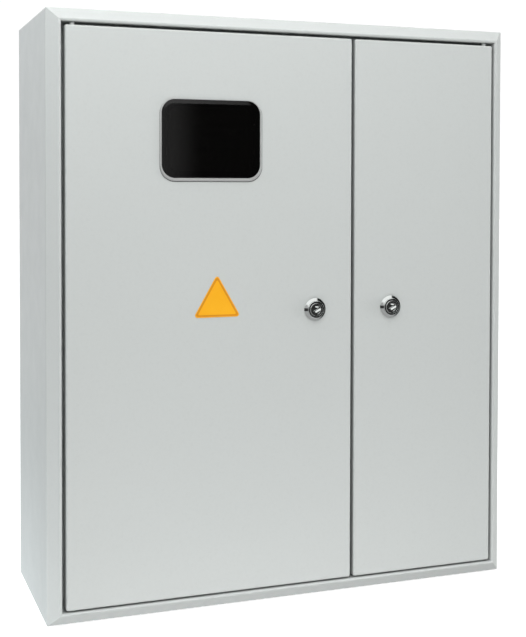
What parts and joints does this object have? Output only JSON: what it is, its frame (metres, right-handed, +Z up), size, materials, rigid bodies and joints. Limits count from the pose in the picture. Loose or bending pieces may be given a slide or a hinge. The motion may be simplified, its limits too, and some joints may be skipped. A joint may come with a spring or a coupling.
{
  "type": "electric meter box",
  "caption": "Wall-mounted sheet-steel meter box with bevelled frame, wide left door with reading window, narrow right door and round cam locks.",
  "frame": {"origin": "middle of the underside of the whole box's bounding box", "axes": "+X to the right seen from the front, +Y back into the wall, +Z up; the doors face -Y"},
  "size_m": [0.42, 0.154, 0.5],
  "materials": {
    "box_paint": "satin powder coat, light grey",
    "door_paint": "satin powder coat, light grey",
    "galvanized_steel": "galvanized, spangled",
    "zinc_fasteners": "zinc plated",
    "lock_chrome": "polished",
    "cam_steel": "zinc plated",
    "bar_brass": "drawn, satin",
    "holder_blue": "moulded",
    "holder_green": "moulded",
    "black_rubber": "matt",
    "black_plastic": "moulded",
    "smoked_pane": "gloss, dark smoked polycarbonate",
    "rim_plastic": "moulded, pale grey",
    "yellow_film": "printed film"
  },
  "bodies": {
    "cabinet": {"body_shell": "box_paint", "back_panel": "box_paint", "centre_post": "box_paint", "divider_plate": "box_paint", "cable_pass_trim": "black_rubber", "meter_plate": "galvanized_steel", "meter_plate_spacers": "zinc_fasteners", "meter_plate_screws": "zinc_fasteners", "din_rail": "galvanized_steel", "din_rail_brackets": "galvanized_steel", "din_rail_screws": "zinc_fasteners", "breaker_cover": "box_paint", "breaker_cover_brackets": "box_paint", "breaker_cover_screws": "zinc_fasteners", "neutral_bar": "bar_brass", "neutral_bar_screws": "zinc_fasteners", "neutral_bar_holder": "holder_blue", "earth_bar": "bar_brass", "earth_bar_screws": "zinc_fasteners", "earth_bar_holder": "holder_green", "earth_stud": "zinc_fasteners", "earth_stud_nuts": "zinc_fasteners"},
    "left_door": {"left_door_panel": "door_paint", "window_rim": "rim_plastic", "window_pane": "smoked_pane", "window_gasket": "black_rubber", "window_retainer": "black_plastic", "triangle_sticker": "yellow_film", "left_lock_housing": "lock_chrome", "left_lock_nut": "zinc_fasteners", "left_hinge_pins": "zinc_fasteners", "left_door_earth_stud": "zinc_fasteners"},
    "right_door": {"right_door_panel": "door_paint", "right_lock_housing": "lock_chrome", "right_lock_nut": "zinc_fasteners", "right_hinge_pins": "zinc_fasteners", "right_door_earth_stud": "zinc_fasteners"},
    "left_lock": {"left_lock_plug": "lock_chrome", "left_lock_shutter": "lock_chrome", "left_lock_cam": "cam_steel", "left_lock_cam_screw": "zinc_fasteners"},
    "right_lock": {"right_lock_plug": "lock_chrome", "right_lock_shutter": "lock_chrome", "right_lock_cam": "cam_steel", "right_lock_cam_screw": "zinc_fasteners"}
  },
  "joints": [
    {"name": "left_door_swing", "type": "hinge", "parent": "cabinet", "child": "left_door", "pos_m": [-0.189, -0.068, 0.25], "axis": [0, 0, -1], "range_deg": [0, 110]},
    {"name": "right_door_swing", "type": "hinge", "parent": "cabinet", "child": "right_door", "pos_m": [0.1895, -0.068, 0.25], "axis": [0, 0, 1], "range_deg": [0, 110]},
    {"name": "left_lock_turn", "type": "hinge", "parent": "left_door", "child": "left_lock", "pos_m": [0.021, -0.073, 0.2507], "axis": [0, -1, 0], "range_deg": [0, 90]},
    {"name": "right_lock_turn", "type": "hinge", "parent": "right_door", "child": "right_lock", "pos_m": [0.0934, -0.073, 0.2507], "axis": [0, 1, 0], "range_deg": [0, 90]}
  ]
}
